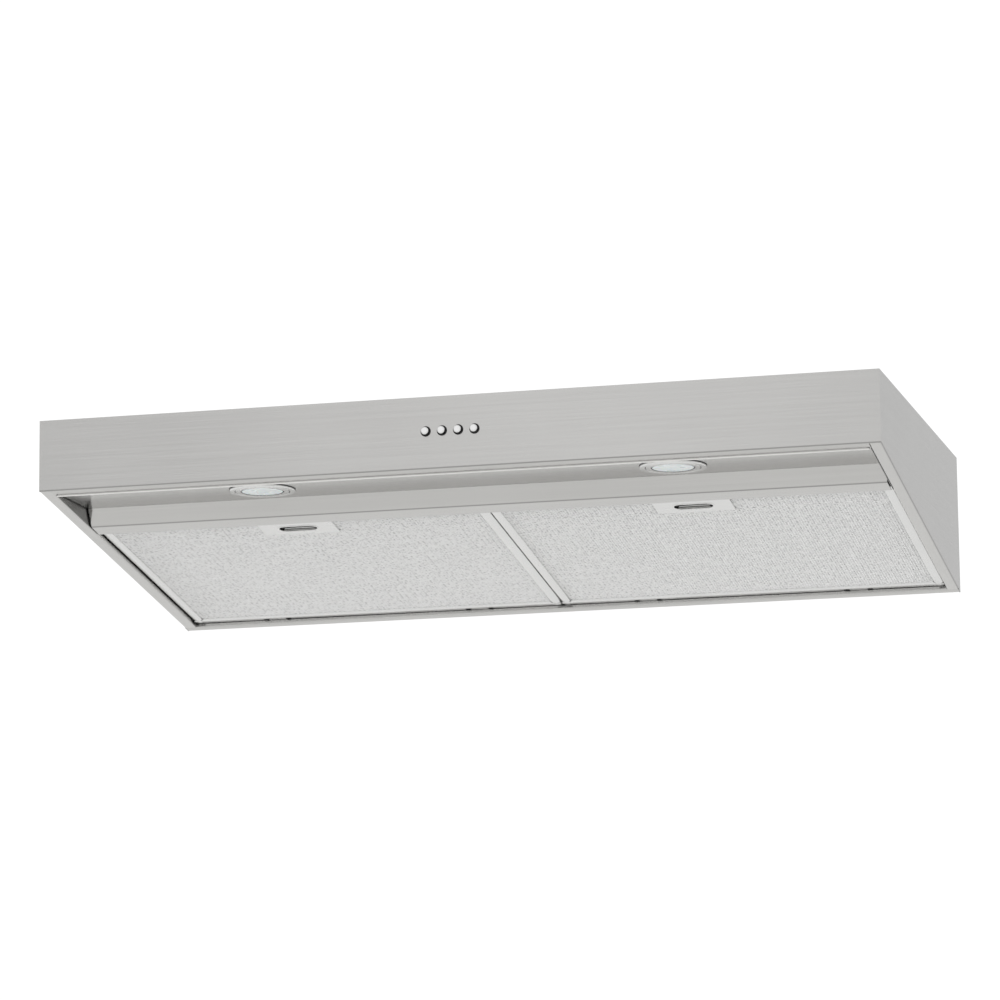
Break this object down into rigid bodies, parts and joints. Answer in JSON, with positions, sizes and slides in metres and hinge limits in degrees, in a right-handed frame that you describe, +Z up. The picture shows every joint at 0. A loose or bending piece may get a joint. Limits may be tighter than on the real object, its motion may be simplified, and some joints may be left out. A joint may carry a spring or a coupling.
{
  "type": "under cabinet range hood",
  "caption": "Slim stainless under cabinet range hood with a sloped underside, mesh grease filters, recessed lamps, push buttons and a twin-wheel blower behind the filters.",
  "frame": {"origin": "centre of the top face that goes up against the cabinet", "axes": "+X to the right of a person facing the hood, +Y back towards the wall, +Z up"},
  "size_m": [0.9, 0.5055, 0.197],
  "materials": {
    "stainless_sheet": "fine lengthwise brushing, satin",
    "galvanised_sheet": "dull zinc with faint spangle",
    "zinc_fasteners": "bright zinc plating",
    "spring_steel": "drawn wire, lightly oiled",
    "button_chrome": "polished",
    "switch_plastic": "black, fine moulded grain",
    "bushing_plastic": "black nylon",
    "terminal_plastic": "ivory nylon",
    "capacitor_case": "plain white moulded case",
    "lead_sheath": "grey PVC sheath",
    "lamp_chrome": "satin ring with a bright bevel",
    "lamp_glass": "frosted",
    "lamp_housing": "die cast, matt",
    "motor_enamel": "black stoved enamel",
    "motor_iron": "laminated, varnished",
    "fan_aluminium": "mill finish",
    "filter_frame_aluminium": "rolled, bright",
    "filter_mesh_aluminium": "expanded mesh",
    "latch_steel": "pressed, satin"
  },
  "bodies": {
    "canopy": {"back_panel": "stainless_sheet", "cable_bushing": "bushing_plastic", "capacitor": "capacitor_case", "damper_pin": "zinc_fasteners", "duct_collar": "galvanised_sheet", "front_panel": "stainless_sheet", "high_button_spring": "spring_steel", "junction_box": "galvanised_sheet", "junction_cover": "galvanised_sheet", "lamp_clips": "spring_steel", "lamp_leads": "lead_sheath", "left_end_cheek": "stainless_sheet", "left_inlet_ring": "galvanised_sheet", "left_lamp_bezel": "lamp_chrome", "left_lamp_body": "lamp_housing", "left_lamp_lens": "lamp_glass", "left_scroll": "galvanised_sheet", "left_side_panel": "stainless_sheet", "light_button_spring": "spring_steel", "light_panel": "stainless_sheet", "low_button_spring": "spring_steel", "medium_button_spring": "spring_steel", "motor_bearings": "zinc_fasteners", "motor_case": "motor_enamel", "motor_leads": "lead_sheath", "motor_stator": "motor_iron", "motor_strap": "galvanised_sheet", "panel_screws": "zinc_fasteners", "rear_duct_cover": "galvanised_sheet", "right_end_cheek": "stainless_sheet", "right_inlet_ring": "galvanised_sheet", "right_lamp_bezel": "lamp_chrome", "right_lamp_body": "lamp_housing", "right_lamp_lens": "lamp_glass", "right_scroll": "galvanised_sheet", "right_side_panel": "stainless_sheet", "switch_body": "switch_plastic", "switch_bracket": "galvanised_sheet", "switch_leads": "lead_sheath", "terminal_block": "terminal_plastic", "top_panel": "stainless_sheet"},
    "fan": {"motor_shaft": "zinc_fasteners", "motor_rotor": "motor_iron", "left_fan_wheel": "fan_aluminium", "right_fan_wheel": "fan_aluminium"},
    "damper": {"damper_flap": "fan_aluminium"},
    "light_button": {"light_button": "button_chrome"},
    "low_button": {"low_button": "button_chrome"},
    "medium_button": {"medium_button": "button_chrome"},
    "high_button": {"high_button": "button_chrome"},
    "left_filter": {"left_filter_frame": "filter_frame_aluminium", "left_filter_mesh": "filter_mesh_aluminium", "left_latch_plate": "filter_frame_aluminium", "left_latch_spring": "spring_steel"},
    "left_latch": {"left_filter_latch": "latch_steel"},
    "right_filter": {"right_filter_frame": "filter_frame_aluminium", "right_filter_mesh": "filter_mesh_aluminium", "right_latch_plate": "filter_frame_aluminium", "right_latch_spring": "spring_steel"},
    "right_latch": {"right_filter_latch": "latch_steel"}
  },
  "joints": [
    {"name": "fan_spin", "type": "hinge", "parent": "canopy", "child": "fan", "pos_m": [0, 0.125, -0.058], "axis": [1, 0, 0], "continuous": true},
    {"name": "light_button_press", "type": "slide", "parent": "canopy", "child": "light_button", "axis": [0, 1, 0], "range_m": [0, 0.003], "stiffness_N_per_m": 200, "springref_m": -0.005, "deforming": ["light_button_spring"]},
    {"name": "low_button_press", "type": "slide", "parent": "canopy", "child": "low_button", "axis": [0, 1, 0], "range_m": [0, 0.003], "stiffness_N_per_m": 200, "springref_m": -0.005, "deforming": ["low_button_spring"]},
    {"name": "medium_button_press", "type": "slide", "parent": "canopy", "child": "medium_button", "axis": [0, 1, 0], "range_m": [0, 0.003], "stiffness_N_per_m": 200, "springref_m": -0.005, "deforming": ["medium_button_spring"]},
    {"name": "high_button_press", "type": "slide", "parent": "canopy", "child": "high_button", "axis": [0, 1, 0], "range_m": [0, 0.003], "stiffness_N_per_m": 200, "springref_m": -0.005, "deforming": ["high_button_spring"]},
    {"name": "left_filter_tilt", "type": "hinge", "parent": "canopy", "child": "left_filter", "pos_m": [-0.2181, 0.24017, -0.14595], "axis": [1, 0, 0], "range_deg": [0, 60]},
    {"name": "left_latch_slide", "type": "slide", "parent": "left_filter", "child": "left_latch", "axis": [0, 0.9886, -0.1503], "range_m": [0, 0.006], "stiffness_N_per_m": 150, "springref_m": -0.01, "deforming": ["left_latch_spring"]},
    {"name": "right_filter_tilt", "type": "hinge", "parent": "canopy", "child": "right_filter", "pos_m": [0.2181, 0.24017, -0.14595], "axis": [1, 0, 0], "range_deg": [0, 60]},
    {"name": "right_latch_slide", "type": "slide", "parent": "right_filter", "child": "right_latch", "axis": [0, 0.9886, -0.1503], "range_m": [0, 0.006], "stiffness_N_per_m": 150, "springref_m": -0.01, "deforming": ["right_latch_spring"]},
    {"name": "damper_swing", "type": "hinge", "parent": "canopy", "child": "damper", "pos_m": [0, 0.1045, 0.008], "axis": [1, 0, 0], "range_deg": [0, 75]}
  ]
}
